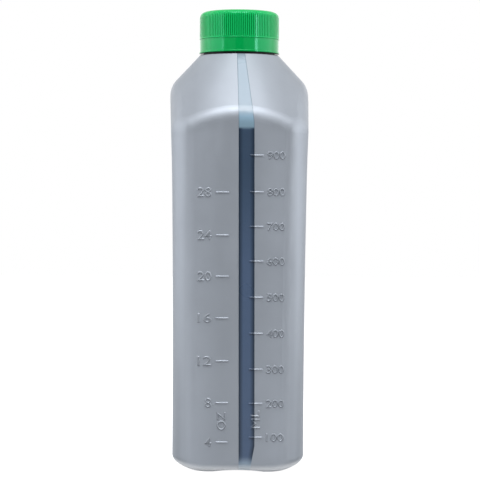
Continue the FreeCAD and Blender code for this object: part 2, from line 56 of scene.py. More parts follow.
# Millimetres in a centimetre.
CM = 10.0
# Points closer together than this are merged.
MERGE = 0.002
# Slack where points are picked by their place.
SLACK = 0.01
# The view stripe's edges at the foot of the panel, and how far they drift left from there up to the arch.
STRIPE_LEFT = 0.2
STRIPE_RIGHT = 7.9
STRIPE_FOOT = 13.0
STRIPE_ARCH = 170.03
STRIPE_DRIFT = 0.95
STRIPE_LEAN = STRIPE_DRIFT / (STRIPE_ARCH - STRIPE_FOOT)
# Where the shoulder ends and the neck starts.
NECK_FOOT = 205.6
# Bore of the cap and of the band, and the number of the cap's ribs.
CLOSURE_BORE = 18.85
RIBS = 120
# The slit under the band, where shade is painted in: its foot, how far out and up the painted shade goes,
# the blur of both edges, its colour.
SLIT_FOOT = 205.3
SLIT_REACH = (20.2, 212.0)
SLIT_BLUR = (0.12, 0.05)
SLIT_SHADE = (0.004, 0.005, 0.005)


class Body(str, Enum):
    """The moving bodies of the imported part."""

    BOTTLE = "bottle"
    LINER = "liner"
    CAP = "cap"
    BAND = "band"


class Slot(str, Enum):
    """The names of the record's material slots."""

    BODY = "body_plastic"
    STRIPE = "stripe_plastic"
    FOIL = "foil"
    BOARD = "board"
    CAP = "cap_plastic"


class Shader:
    """A material's node tree, with short calls to add nodes and to join them."""

    # Noise mostly keeps between these two values.
    NOISE_LOW = 0.25
    NOISE_HIGH = 0.75
    # Places of the two colours and of the result among the sockets of a Mix node.
    FIRST_COLOUR = 6
    SECOND_COLOUR = 7
    MIXED_COLOUR = 2

    def __init__(self, name: str) -> None:
        """Start a material that has only its surface shader.

        Args:
            name: name of the material.
        """
        self.material = bpy.data.materials.new(name)
        self.material.use_nodes = True
        self.tree = self.material.node_tree
        self.surface = self.tree.nodes["Principled BSDF"]
        self.place = self.add("ShaderNodeTexCoord").outputs["Object"]

    def add(self, kind: str, **settings: object) -> bpy.types.Node:
        """Add a node.

        Args:
            kind: Blender's name for the node.
            settings: attributes of the node.

        Returns:
            The node.
        """
        node = self.tree.nodes.new(kind)
        for name, value in settings.items():
            setattr(node, name, value)
        return node

    def join(self, source: Socket, target: Socket) -> None:
        """Link two sockets."""
        self.tree.links.new(source, target)

    def set(self, **values: object) -> None:
        """Set constants on the surface shader, with _ for a space in a socket's name."""
        for name, value in values.items():
            self.surface.inputs[name.replace("_", " ")].default_value = value

    def feed(self, **sources: Socket) -> None:
        """Link sockets to the surface shader, with _ for a space in a socket's name."""
        for name, source in sources.items():
            self.join(source, self.surface.inputs[name.replace("_", " ")])

    def noise(self, scale: float, detail: float = 2.0, stretch: Triple = (1.0, 1.0, 1.0)) -> Socket:
        """Noise on the object's own coordinates.

        Args:
            scale: features per metre.
            detail: number of finer layers.
            stretch: factor on each axis before the noise is read.

        Returns:
            The socket of the noise's value.
        """
        spread = self.add("ShaderNodeMapping")
        spread.inputs["Scale"].default_value = stretch
        self.join(self.place, spread.inputs["Vector"])
        node = self.add("ShaderNodeTexNoise")
        node.inputs["Scale"].default_value = scale
        node.inputs["Detail"].default_value = detail
        self.join(spread.outputs["Vector"], node.inputs["Vector"])
        return node.outputs["Fac"]

    def eased(self, value: Socket, start: float, end: float, low: float, high: float) -> Socket:
        """Move a value smoothly from one range to another.

        Args:
            value: what is moved.
            start: value that gives low.
            end: value that gives high.
            low: result at start and below it.
            high: result at end and above it.

        Returns:
            The socket of the result.
        """
        node = self.add("ShaderNodeMapRange", interpolation_type="SMOOTHSTEP")
        for name, number in zip(("From Min", "From Max", "To Min", "To Max"), (start, end, low, high)):
            node.inputs[name].default_value = number
        self.join(value, node.inputs["Value"])
        return node.outputs["Result"]

    def spread(self, value: Socket, low: float = 0.0, high: float = 1.0) -> Socket:
        """Noise moved to a range."""
        return self.eased(value, self.NOISE_LOW, self.NOISE_HIGH, low, high)

    def within(self, value: Socket, edge: float, blur: float) -> Socket:
        """One below an edge and none above it; blur is half the width of the change."""
        return self.eased(value, edge - blur, edge + blur, 1.0, 0.0)

    def beyond(self, value: Socket, edge: float, blur: float) -> Socket:
        """None below an edge and one above it; blur is half the width of the change."""
        return self.eased(value, edge - blur, edge + blur, 0.0, 1.0)

    def under(self, height: float, blur: float) -> Socket:
        """One below a height and none above it, in millimetres."""
        return self.within(self.axis("Z"), height * MM, blur * MM)

    def axis(self, name: str) -> Socket:
        """One of the object's own coordinates, in metres.

        Args:
            name: X, Y or Z.

        Returns:
            The socket of the coordinate.
        """
        node = self.add("ShaderNodeSeparateXYZ")
        self.join(self.place, node.inputs["Vector"])
        return node.outputs[name]

    def facing(self, name: str) -> Socket:
        """How much the surface faces along an axis, from -1 to 1.

        Args:
            name: X, Y or Z.

        Returns:
            The socket of the result.
        """
        node = self.add("ShaderNodeSeparateXYZ")
        self.join(self.add("ShaderNodeNewGeometry").outputs["Normal"], node.inputs["Vector"])
        return node.outputs[name]

    def radius(self) -> Socket:
        """Distance from the bottle's axis, in metres.

        Returns:
            The socket of the distance.
        """
        flat = self.add("ShaderNodeMapping")
        flat.inputs["Scale"].default_value = (1.0, 1.0, 0.0)
        self.join(self.place, flat.inputs["Vector"])
        node = self.add("ShaderNodeVectorMath", operation="LENGTH")
        self.join(flat.outputs["Vector"], node.inputs[0])
        return node.outputs["Value"]

    def math(self, operation: str, first: Socket | float, second: Socket | float = 0.0) -> Socket:
        """A sum of one or two values.

        Args:
            operation: Blender's name for the sum.
            first: number, or the socket that gives it.
            second: number, or the socket that gives it.

        Returns:
            The socket of the result.
        """
        node = self.add("ShaderNodeMath", operation=operation)
        for value, socket in zip((first, second), node.inputs):
            if isinstance(value, float):
                socket.default_value = value
            else:
                self.join(value, socket)
        return node.outputs["Value"]

    def product(self, first: Socket, *others: Socket | float) -> Socket:
        """One value times all the others.

        Args:
            first: socket of the first value.
            others: numbers, or the sockets that give them.

        Returns:
            The socket of the result.
        """
        for other in others:
            first = self.math("MULTIPLY", first, other)
        return first

    def slit_shade(self, colour: Socket, reach: float, top: float) -> Socket:
        """Paint shade on what lies in the slit under the tamper band, where little light gets in.

        Args:
            colour: socket of the colour.
            reach: how far from the axis the dark goes.
            top: how high it goes.

        Returns:
            The socket of the darkened colour.
        """
        blur_out, blur_up = SLIT_BLUR
        inside = self.within(self.radius(), reach * MM, blur_out * MM)
        between = self.math("SUBTRACT", self.under(top, blur_up), self.under(SLIT_FOOT, blur_up))
        return self.blend(colour, self.product(inside, between), SLIT_SHADE)

    def ramp(self, value: Socket, low: float, high: float, stops: list[tuple[float, Colour]]) -> Socket:
        """Colours that change along a value.

        Args:
            value: what the colours follow.
            low: value at the first end of the ramp.
            high: value at the last end of the ramp.
            stops: pairs of a value between low and high and its colour.

        Returns:
            The socket of the colour.
        """
        fit = self.add("ShaderNodeMapRange")
        fit.inputs["From Min"].default_value = low
        fit.inputs["From Max"].default_value = high
        self.join(value, fit.inputs["Value"])
        node = self.add("ShaderNodeValToRGB")
        elements = node.color_ramp.elements
        while len(elements) < len(stops):
            elements.new(0.5)
        # Every stop is in its place before any takes its colour.
        for element, stop in zip(elements, stops):
            element.position = (stop[0] - low) / (high - low)
        for element, stop in zip(elements, stops):
            element.color = (*stop[1], 1.0)
        self.join(fit.outputs["Result"], node.inputs["Fac"])
        return node.outputs["Color"]

    def blend(
        self, colour: Socket | Colour, share: Socket | float, other: Socket | Colour, way: str = "MIX"
    ) -> Socket:
        """Mix a second colour in.

        Args:
            colour: first colour, or the socket that gives it.
            share: how much of the second colour there is, or the socket that gives it.
            other: second colour, or the socket that gives it.
            way: Blender's name for the way of mixing.

        Returns:
            The socket of the mixed colour.
        """
        node = self.add("ShaderNodeMix", data_type="RGBA", blend_type=way)
        sockets = (node.inputs[self.FIRST_COLOUR], node.inputs[self.SECOND_COLOUR], node.inputs["Factor"])
        for value, socket in zip((colour, other, share), sockets):
            if isinstance(value, tuple):
                socket.default_value = (*value, 1.0)
            elif isinstance(value, float):
                socket.default_value = value
            else:
                self.join(value, socket)
        return node.outputs[self.MIXED_COLOUR]

    def bump(self, height: Socket, depth: float, strength: float) -> None:
        """Raise the surface's fine relief.

        Args:
            height: socket of the relief, from 0 to 1.
            depth: height of the relief in millimetres.
            strength: share of the relief that shows.
        """
        node = self.add("ShaderNodeBump")
        node.inputs["Distance"].default_value = depth * MM
        node.inputs["Strength"].default_value = strength
        under = self.surface.inputs["Normal"]
        if under.is_linked:
            self.join(under.links[0].from_socket, node.inputs["Normal"])
        self.join(height, node.inputs["Height"])
        self.join(node.outputs["Normal"], under)


@dataclass(frozen=True)
class Finish:
    """A finish that can build its material."""

    name: str

    def paint(self, shader: Shader) -> None:
        """Set up the material's nodes; every kind of finish has its own way."""
        raise NotImplementedError

    def material(self) -> Material:
        """Build the material.

        Returns:
            The material.
        """
        shader = Shader(self.name)
        self.paint(shader)
        return shader.material


@dataclass(frozen=True)
class MouldedPlastic(Finish):
    """Plain moulded plastic: a colour with faint cloudiness, fine grain and soft gloss."""

    colour: Colour
    cloud: Colour
    gloss: Pair
    metallic: float
    grain: float
    specular: float = 0.5
    # How far out and up the painted shade in the slit under the band reaches.
    slit: Pair = SLIT_REACH
    highlight: Colour = (1.0, 1.0, 1.0)
    # Features per metre: clouds, scuffs, fine grain and slow waves.
    cloud_scale: float = 38.0
    scuff_scale: float = 160.0
    grain_scale: float = 1400.0
    wave_scale: float = 90.0
    # The scuffs are drawn out along the bottle, and the waves are higher than the grain.
    scuff_stretch: Triple = (1.0, 1.0, 0.35)
    wave_rise: float = 6.0
    grain_strength: float = 0.35
    wave_strength: float = 0.3

    def toned(self, shader: Shader, colour: Socket) -> Socket:
        """Change the colour over the piece; plain plastic has no such change."""
        return colour

    def paint(self, shader: Shader) -> None:
        """Set up the cloudy colour, the painted shade in the slit under the band, the gloss and the grain.

        Args:
            shader: the material's shader.
        """
        clouds = shader.spread(shader.noise(self.cloud_scale, 4.0))
        mottled = self.toned(shader, shader.blend(self.colour, clouds, self.cloud))
        scuffs = shader.noise(self.scuff_scale, 5.0, self.scuff_stretch)
        # The base colour gets painted shade in the slit under the band.
        shader.feed(
            Base_Color=shader.slit_shade(mottled, *self.slit),
            Roughness=shader.spread(scuffs, *self.gloss),
        )
        shader.bump(shader.noise(self.grain_scale), self.grain, self.grain_strength)
        shader.bump(shader.noise(self.wave_scale), self.wave_rise * self.grain, self.wave_strength)
        shader.set(Metallic=self.metallic, Specular_IOR_Level=self.specular)
        shader.set(Specular_Tint=(*self.highlight, 1.0))


@dataclass(frozen=True)
class RibbedPlastic(MouldedPlastic):
    """The cap's plastic, with a painted highlight on the ribs and painted shade in the grooves between
    them.
    """

    ribs: int = RIBS
    # Heights of the ribs' ends, a radius inside the skirt's wall, and how far each change is blurred.
    ribbed: Pair = (214.4, 225.4)
    ribbed_blur: Pair = (0.1, 0.8)
    inner: float = 19.3
    inner_blur: float = 0.2
    # Where ridge turns into groove on a wave from -1 to 1, and how far that is blurred.
    groove_edge: Pair = (-0.3, 0.4)
    # Colours of the painted highlight on the ribs and of the painted shade in the grooves.
    ridge: Colour = (0.008, 0.505, 0.128)
    groove: Colour = (0.0, 0.225, 0.036)

    def toned(self, shader: Shader, colour: Socket) -> Socket:
        """Paint a highlight on the ribs and shade in the grooves.

        Args:
            shader: the material's shader.
            colour: socket of the colour.

        Returns:
            The socket of the changed colour.
        """
        bearing = shader.math("ARCTAN2", shader.axis("Y"), shader.axis("X"))
        wave = shader.math("COSINE", shader.product(bearing, float(self.ribs)))
        ribbed = shader.blend(self.ridge, shader.within(wave, *self.groove_edge), self.groove)
        low, high = self.ribbed
        blur_low, blur_high = self.ribbed_blur
        above = shader.beyond(shader.axis("Z"), low * MM, blur_low * MM)
        below = shader.under(high, blur_high)
        outside = shader.beyond(shader.radius(), self.inner * MM, self.inner_blur * MM)
        return shader.blend(colour, shader.product(above, below, outside), ribbed)


@dataclass(frozen=True)
class WallPlastic(MouldedPlastic):
    """The body's plastic, with painted shade and painted light across the narrow side, painted shade on the
    shoulder's flanks and on the lower corners, and a painted reflection of the white floor on its heel.
    """

    # Colour of the painted reflection of the white floor on the heel.
    heel_reflection: Colour = (0.86, 0.89, 0.93)
    # Colour of the painted shade on the lower corners, which fades out towards the top.
    corner_shade: Colour = (0.250, 0.276, 0.315)
    # Place across the narrow side, and the share of the colour there: painted shade below one and painted
    # light above one, on the panel and then on the shoulder.
    panel: Pairs = (
        (-40.0, 0.95), (-28.5, 0.96), (-26.0, 0.89), (-23.5, 1.03), (-20.0, 1.05), (-8.0, 0.92),
        (8.0, 0.92), (18.0, 1.0), (21.5, 0.98), (23.6, 0.86), (25.5, 0.77), (26.6, 0.80),
        (28.4, 0.98), (29.6, 0.97), (31.0, 0.92), (40.0, 0.94),
    )
    shoulder: Pairs = (
        (-40.0, 0.74), (-22.0, 0.74), (-10.0, 0.90), (10.0, 0.90), (22.0, 0.74), (40.0, 0.74),
    )
    # Each pair that follows is where a change lies and how far it is blurred.
    shoulder_foot: Pair = (168.0, 5.0)
    # The three corner pairs bound the painted shade on the lower corners.
    corner_across: Pair = (27.0, 3.0)
    corner_along: Pair = (40.0, 5.0)
    corner_top: Pair = (55.0, 55.0)
    # The painted reflection of the floor on the heel lies between two edges, each given as how much the
    # surface faces up.
    heel_start: Pair = (-0.45, 0.36)
    heel_end: Pair = (-0.95, 0.04)

    def shares(self, shader: Shader, stops: Pairs) -> Socket:
        """Grey of painted shade and light that changes across the narrow side.

        Args:
            shader: the material's shader.
            stops: pairs of a place across and the share of the colour there, from left to right.

        Returns:
            The socket of the grey.
        """
        left, right = stops[0][0], stops[-1][0]
        greys = [(at * MM, (share,) * 3) for at, share in stops]
        return shader.ramp(shader.axis("X"), left * MM, right * MM, greys)

    def toned(self, shader: Shader, colour: Socket) -> Socket:
        """Paint shade and light across the panel and the shoulder, shade on the lower corners and the
        floor's reflection on the heel.

        Args:
            shader: the material's shader.
            colour: socket of the colour.

        Returns:
            The socket of the changed colour.
        """
        # Painted shade and painted light across the narrow side below the shoulder's foot, painted shade on
        # the shoulder's flanks above it.
        panel, shoulder = [self.shares(shader, stops) for stops in (self.panel, self.shoulder)]
        shade = shader.blend(shoulder, shader.under(*self.shoulder_foot), panel)
        colour = shader.blend(colour, 1.0, shade, "MULTIPLY")
        outer = [
            shader.beyond(shader.math("ABSOLUTE", shader.axis(name)), edge * MM, blur * MM)
            for name, (edge, blur) in (("X", self.corner_across), ("Y", self.corner_along))
        ]
        # Painted shade on the lower corners.
        colour = shader.blend(colour, shader.product(*outer, shader.under(*self.corner_top)), self.corner_shade)
        # Painted reflection of the white floor on the heel, where it faces down.
        start, end = [shader.within(shader.facing("Z"), *edge) for edge in (self.heel_start, self.heel_end)]
        return shader.blend(colour, shader.math("SUBTRACT", start, end), self.heel_reflection)


@dataclass(frozen=True)
class StripePlastic(Finish):
    """Milky see-through plastic: dark where the oil stands behind it, pale above the oil."""

    name: str = "stripe_plastic"
    oil_level: float = 167.0
    oil_edge: float = 2.6
    air_edge: float = 0.55
    foot: Colour = (0.78, 0.86, 0.93)
    foot_edge: Colour = (0.30, 0.39, 0.49)
    oil_low: Colour = (0.070, 0.113, 0.200)
    oil_high: Colour = (0.040, 0.071, 0.124)
    oil_rim: Colour = (0.012, 0.026, 0.050)
    air_low: Colour = (0.215, 0.335, 0.425)
    air_mid: Colour = (0.270, 0.420, 0.545)
    air_high: Colour = (0.348, 0.426, 0.504)
    # Colour of the painted shade on the stripe at the neck, under the band.
    neck_shade: Colour = (0.155, 0.215, 0.260)
    air_rim: Colour = (0.110, 0.150, 0.190)
    # The stripe's right edge at the base, and both its edges at the neck.
    base_right: float = 5.6
    neck_edges: Pair = (-1.4, 2.6)
    # A colour ramp holds nothing below zero, so both edges are moved right by this much.
    ramp_shift: float = 2.0
    # How far the oil's surface is blurred, and where the dark rims start above the base, with their blur.
    surface_blur: float = 0.5
    rim_foot: Pair = (6.0, 4.0)
    air_rim_share: float = 0.75
    gloss: Pair = (0.27, 0.31)
    gloss_scale: float = 60.0
    grain: float = 0.01
    grain_scale: float = 1300.0
    grain_strength: float = 0.3

    def from_edge(self, shader: Shader) -> Socket:
        """Distance from the nearer edge of the stripe, in centimetres.

        Args:
            shader: the material's shader.

        Returns:
            The socket of the distance.
        """
        edges = (
            (0.0, STRIPE_LEFT, self.base_right),
            (STRIPE_FOOT, STRIPE_LEFT, STRIPE_RIGHT),
            (STRIPE_ARCH, STRIPE_LEFT - STRIPE_DRIFT, STRIPE_RIGHT - STRIPE_DRIFT),
            (NECK_FOOT, *self.neck_edges),
        )
        shift = self.ramp_shift
        stops = [(up * MM, ((left + shift) / CM, (right + shift) / CM, 0.0)) for up, left, right in edges]
        lines = shader.add("ShaderNodeSeparateColor")
        shader.join(shader.ramp(shader.axis("Z"), 0.0, NECK_FOOT * MM, stops), lines.inputs["Color"])
        across = shader.math("ADD", shader.product(shader.axis("X"), 1.0 / (MM * CM)), shift / CM)
        from_left = shader.math("SUBTRACT", across, lines.outputs["Red"])
        from_right = shader.math("SUBTRACT", lines.outputs["Green"], across)
        return shader.math("MINIMUM", from_left, from_right)

    def along(self, shader: Shader) -> Socket:
        """Colour from the foot up to the neck.

        Args:
            shader: the material's shader.

        Returns:
            The socket of the colour.
        """
        level = self.oil_level
        stops = (
            (0.0, self.foot),
            (2.2, self.foot),
            (3.9, self.foot_edge),
            (7.5, self.oil_low),
            (100.0, self.oil_low),
            (level - 22.0, self.oil_high),
            (level - 0.4, self.oil_high),
            (level + 0.5, self.air_low),
            (level + 2.0, self.air_low),
            (level + 5.5, self.air_mid),
            (level + 9.0, self.air_high),
            # Painted shade comes in over the last few millimetres below the neck.
            (NECK_FOOT - 4.0, self.air_high),
            (NECK_FOOT, self.neck_shade),
        )
        scaled = [(up * MM, colour) for up, colour in stops]
        return shader.ramp(shader.axis("Z"), 0.0, NECK_FOOT * MM, scaled)

    def paint(self, shader: Shader) -> None:
        """Set up the colour along the stripe, its darker rims, the painted shade in the slit under the band
        and its gloss.

        Args:
            shader: the material's shader.
        """
        colour = self.along(shader)
        inward = self.from_edge(shader)
        halves = [width / CM / 2 for width in (self.oil_edge, self.air_edge)]
        oil_rim, air_rim = [shader.within(inward, half, half) for half in halves]
        in_oil = shader.under(self.oil_level, self.surface_blur)
        in_air = shader.math("SUBTRACT", 1.0, in_oil)
        foot, blur = self.rim_foot
        past_foot = shader.beyond(shader.axis("Z"), foot * MM, blur * MM)
        colour = shader.blend(colour, shader.product(oil_rim, in_oil, past_foot), self.oil_rim)
        colour = shader.blend(colour, shader.product(air_rim, in_air, self.air_rim_share), self.air_rim)
        # The base colour gets painted shade in the slit under the band.
        shader.feed(
            Base_Color=shader.slit_shade(colour, *SLIT_REACH),
            Roughness=shader.spread(shader.noise(self.gloss_scale, 1.0), *self.gloss),
        )
        shader.bump(shader.noise(self.grain_scale), self.grain, self.grain_strength)
        shader.set(Specular_IOR_Level=0.5)


@dataclass(frozen=True)
class MotorOil(Finish):
    """Clear amber oil."""

    name: str = "motor_oil"
    colour: Colour = (0.42, 0.17, 0.022)
    deep: Colour = (0.25, 0.085, 0.010)
    cloud_scale: float = 14.0
    wave_scale: float = 30.0
    wave_rise: float = 0.05

    def paint(self, shader: Shader) -> None:
        """Set up the amber, the slow waves and how clear the oil is.

        Args:
            shader: the material's shader.
        """
        clouds = shader.spread(shader.noise(self.cloud_scale))
        shader.feed(Base_Color=shader.blend(self.colour, clouds, self.deep))
        shader.bump(shader.noise(self.wave_scale, 1.0), self.wave_rise, 0.2)
        shader.set(Roughness=0.04, IOR=1.47, Transmission_Weight=0.4)


@dataclass(frozen=True)
class SealFoil(Finish):
    """Aluminium foil, softly creased."""

    name: str = "seal_foil"
    colour: Colour = (0.80, 0.80, 0.79)
    crease: Colour = (0.66, 0.67, 0.68)
    crease_scale: float = 210.0
    crease_rise: float = 0.25
    gloss: Pair = (0.22, 0.34)
    gloss_scale: float = 700.0

    def paint(self, shader: Shader) -> None:
        """Set up the metal and its creases.

        Args:
            shader: the material's shader.
        """
        creases = shader.noise(self.crease_scale, 5.0)
        shader.feed(
            Base_Color=shader.blend(self.colour, shader.spread(creases), self.crease),
            Roughness=shader.spread(shader.noise(self.gloss_scale), *self.gloss),
        )
        shader.bump(creases, self.crease_rise, 0.45)
        shader.set(Metallic=1.0)


@dataclass(frozen=True)
class PulpBoard(Finish):
    """Pressed pulp board with short fibres."""

    name: str = "pulp_board"
    colour: Colour = (0.74, 0.70, 0.61)
    fibre: Colour = (0.58, 0.53, 0.44)
    fibre_scale: float = 900.0
    fibre_stretch: Triple = (1.0, 0.3, 1.0)
    fibre_rise: float = 0.06

    def paint(self, shader: Shader) -> None:
        """Set up the matt board and its fibres.

        Args:
            shader: the material's shader.
        """
        fibres = shader.noise(self.fibre_scale, 6.0, self.fibre_stretch)
        shader.feed(Base_Color=shader.blend(self.colour, shader.spread(fibres), self.fibre))
        shader.bump(fibres, self.fibre_rise, 0.6)
        shader.set(Roughness=0.85, Specular_IOR_Level=0.25)


def lay_face_up(bm: BMesh) -> None:
    """Merge doubles and turn every face outwards."""
    bmesh.ops.remove_doubles(bm, verts=bm.verts, dist=MERGE * MM)
    bmesh.ops.recalc_face_normals(bm, faces=bm.faces)


def shifted(points: Pairs, radius: float, height: float) -> list[Pair]:
    """Points of an outline, moved out by a radius and up by a height."""
    return [(radius + out, height + up) for out, up in points]


def turned(outline: list[Pair], steps: int) -> BMesh:
    """Spin an outline that starts and ends on the axis, or that comes back to its start.

    Args:
        outline: pairs of a radius and a height.
        steps: number of steps round the axis.

    Returns:
        The turned mesh.
    """
    bm = bmesh.new()
    verts = [bm.verts.new((radius * MM, 0, up * MM)) for radius, up in outline]
    edges = [bm.edges.new(pair) for pair in zip(verts, verts[1:])]
    bmesh.ops.spin(bm, geom=verts + edges, axis=(0, 0, 1), angle=2 * math.pi, steps=steps, use_merge=True)
    lay_face_up(bm)
    return bm


def placed(bm: BMesh, name: str, finish: Material) -> bpy.types.Object:
    """Turn a bmesh into an object of the scene.

    Args:
        bm: the object's mesh, in place; it is freed.
        name: name of the object.
        finish: its material.

    Returns:
        The object.
    """
    mesh = bpy.data.meshes.new(name)
    bm.to_mesh(mesh)
    bm.free()
    mesh.materials.append(finish)
    carrier = bpy.data.objects.new(name, mesh)
    bpy.context.scene.collection.objects.link(carrier)
    return carrier


def finished_piece(
    bm: BMesh, name: str, finish: Material, body: Body, crease: float = 35.0
) -> bpy.types.Object:
    """Turn a bmesh into a piece that rides on a body.

    Args:
        bm: the piece's mesh, in place; it is freed.
        name: name of the piece.
        finish: its material.
        body: the body that carries it.
        crease: edges that turn by more degrees than this stay sharp.

    Returns:
        The piece.
    """
    for face in bm.faces:
        face.smooth = True
    for edge in bm.edges:
        edge.smooth = len(edge.link_faces) == 2 and edge.calc_face_angle(0.0) < math.radians(crease)
    piece = placed(bm, name, finish)
    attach(piece, body.value)
    log.info("%s: %d faces", name, len(piece.data.polygons))
    return piece


def dress(node: str, finish: Material) -> None:
    """Give a carried-over CAD node its material.

    Args:
        node: name of the node.
        finish: the material.
    """
    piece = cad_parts[node]
    piece.data.materials.clear()
    piece.data.materials.append(finish)
    log.info("%s: dressed in %s", node, finish.name)


@dataclass
class Graduations:
    """Raised measuring marks on the narrow face: ounces on the left, millilitres on the right."""

    face: float = 48.3
    crown: float = 300.0
    proud: float = 0.42
    sunk: float = 0.35
    tick_thick: float = 0.95
    tick_slope: float = 0.6
    tick_lift: float = 0.24
    tick_round: float = 0.12
    ml_tick: Pair = (5.0, 11.6)
    ml_numbers_left: float = 13.25
    ml_number_size: Pair = (8.9, 4.0)
    ml_step: int = 100
    oz_tick: Pair = (-11.6, -5.1)
    oz_numbers_right: float = -13.35
    oz_number_size: Pair = (7.0, 4.8)
    oz_step: int = 4
    # How far right the ticks' left ends move at the base, and the numbers at the base and the last mark.
    oz_tick_drift: float = 0.65
    oz_number_drift: Pair = (0.5, -0.3)
    # The bottle isn't equally wide all the way up, so the marks aren't equally far apart.
    ml_heights: tuple[float, ...] = (17.0, 33.4, 50.0, 67.4, 84.9, 102.4, 119.2, 136.0, 153.8)
    oz_heights: tuple[float, ...] = (14.6, 33.7, 54.0, 74.8, 95.0, 115.0, 135.8)
    oz_unit: Pair = (-8.3, 24.9)
    ml_unit: Pair = (8.2, 25.6)
    unit_size: Pair = (9.0, 4.5)
    unit_turn: float = 90.0
    # Figures and letters as they are drawn, before they are brought to their size.
    letter_size: float = 10.0
    letter_extrude: float = 0.05
    letter_bevel: float = 0.7
    letter_thin: float = 0.4
    letter_steps: int = 6

    def tick(self, bm: BMesh, span: Pair, height: float) -> None:
        """Add a bar whose upper side slopes back to the wall.

        Args:
            bm: mesh that takes the bar.
            span: its two ends across the face.
            height: its middle above the base.
        """
        made = bmesh.ops.create_cube(bm, size=1.0)["verts"]
        deep = self.proud + self.sunk
        bmesh.ops.scale(bm, verts=made, vec=(span[1] - span[0], deep, self.tick_thick))
        middle = (sum(span) / 2, -self.face - self.proud + deep / 2, height + self.tick_lift)
        bmesh.ops.translate(bm, verts=made, vec=middle)
        front = min(vert.co.y for vert in made) + SLACK
        crest = [vert for vert in made if vert.co.y < front and vert.co.z > middle[2]]
        bmesh.ops.translate(bm, verts=crest, vec=(0, 0, -self.tick_slope))
        edges = {edge for vert in made for edge in vert.link_edges}
        rounded = [edge for edge in edges if any(vert.co.y < front for vert in edge.verts)]
        bmesh.ops.bevel(
            bm, geom=rounded, offset=self.tick_round, segments=2, profile=0.5, affect="EDGES", material=-1
        )

    def words(self, bm: BMesh, text: str, size: Pair, middle: Pair, turn: float = 0.0) -> None:
        """Add raised figures or letters.

        Args:
            bm: mesh that takes them.
            text: what they say.
            size: their width and height, before they are turned.
            middle: where their middle is, across the face and above the base.
            turn: degrees that they are turned anticlockwise.
        """
        curve = bpy.data.curves.new("figures", "FONT")
        curve.body = text
        curve.size = self.letter_size
        curve.extrude = self.letter_extrude
        curve.bevel_depth = self.letter_bevel
        curve.bevel_resolution = 0
        curve.resolution_u = self.letter_steps
        curve.offset = -self.letter_thin
        carrier = bpy.data.objects.new("figures", curve)
        bpy.context.scene.collection.objects.link(carrier)
        bpy.context.view_layer.update()
        flat = bpy.data.meshes.new_from_object(carrier.evaluated_get(bpy.context.evaluated_depsgraph_get()))
        before = set(bm.verts)
        bm.from_mesh(flat)
        made = [vert for vert in bm.verts if vert not in before]
        bpy.data.objects.remove(carrier)
        bpy.data.curves.remove(curve)
        bpy.data.meshes.remove(flat)
        low = [min(vert.co[axis] for vert in made) for axis in range(3)]
        high = [max(vert.co[axis] for vert in made) for axis in range(3)]
        deep = self.proud + self.sunk
        bmesh.ops.translate(bm, verts=made, vec=[-(a + b) / 2 for a, b in zip(low, high)])
        stretch = [wanted / (b - a) for wanted, a, b in zip((*size, deep), low, high)]
        bmesh.ops.scale(bm, verts=made, vec=stretch)
        stand = Matrix.Rotation(math.radians(90.0), 4, "X") @ Matrix.Rotation(math.radians(turn), 4, "Z")
        bmesh.ops.transform(bm, matrix=stand, verts=made)
        bmesh.ops.translate(bm, verts=made, vec=(middle[0], -self.face - self.proud + deep / 2, middle[1]))

    def settle(self, bm: BMesh) -> None:
        """Bend the marks on to the crowned face and turn millimetres into metres.

        Args:
            bm: the marks.
        """
        for vert in bm.verts:
            vert.co.y += vert.co.x**2 / (2 * self.crown)
        bmesh.ops.scale(bm, verts=bm.verts, vec=(MM, MM, MM))
        lay_face_up(bm)

    def side(self, bm: BMesh, keep_right: bool) -> None:
        """Cut the marks along the stripe's edge.

        Args:
            bm: the marks.
            keep_right: whether what lies right of the edge is kept.
        """
        bmesh.ops.bisect_plane(
            bm,
            geom=bm.verts[:] + bm.edges[:] + bm.faces[:],
            plane_co=(STRIPE_RIGHT * MM, 0, STRIPE_FOOT * MM),
            plane_no=(1, 0, STRIPE_LEAN),
            clear_inner=keep_right,
            clear_outer=not keep_right,
        )
        bmesh.ops.holes_fill(bm, edges=[edge for edge in bm.edges if edge.is_boundary])

    def ounces(self) -> dict[str, BMesh]:
        """Build the ounce marks.

        Returns:
            The meshes of the ticks and of the figures.
        """
        ticks, figures = bmesh.new(), bmesh.new()
        left, right = self.oz_tick
        drift_low, drift_high = self.oz_number_drift
        for count, height in enumerate(self.oz_heights, 1):
            share = height / self.oz_heights[-1]
            self.tick(ticks, (left + self.oz_tick_drift * (1.0 - share), right), height)
            text = str(count * self.oz_step)
            wide = self.oz_number_size[0] * len(text) / 2
            drift = drift_low * (1.0 - share) + drift_high * share
            middle = (self.oz_numbers_right + drift - wide / 2, height)
            self.words(figures, text, (wide, self.oz_number_size[1]), middle)
        self.words(figures, "OZ", self.unit_size, self.oz_unit, self.unit_turn)
        return {"ticks": ticks, "figures": figures}

    def millilitres(self) -> dict[str, BMesh]:
        """Build the millilitre marks.

        Returns:
            The meshes of the ticks and of the figures.
        """
        ticks, figures = bmesh.new(), bmesh.new()
        for count, height in enumerate(self.ml_heights, 1):
            self.tick(ticks, self.ml_tick, height)
            middle = (self.ml_numbers_left + self.ml_number_size[0] / 2, height)
            self.words(figures, str(count * self.ml_step), self.ml_number_size, middle)
        self.words(figures, "ML", self.unit_size, self.ml_unit, self.unit_turn)
        return {"ticks": ticks, "figures": figures}

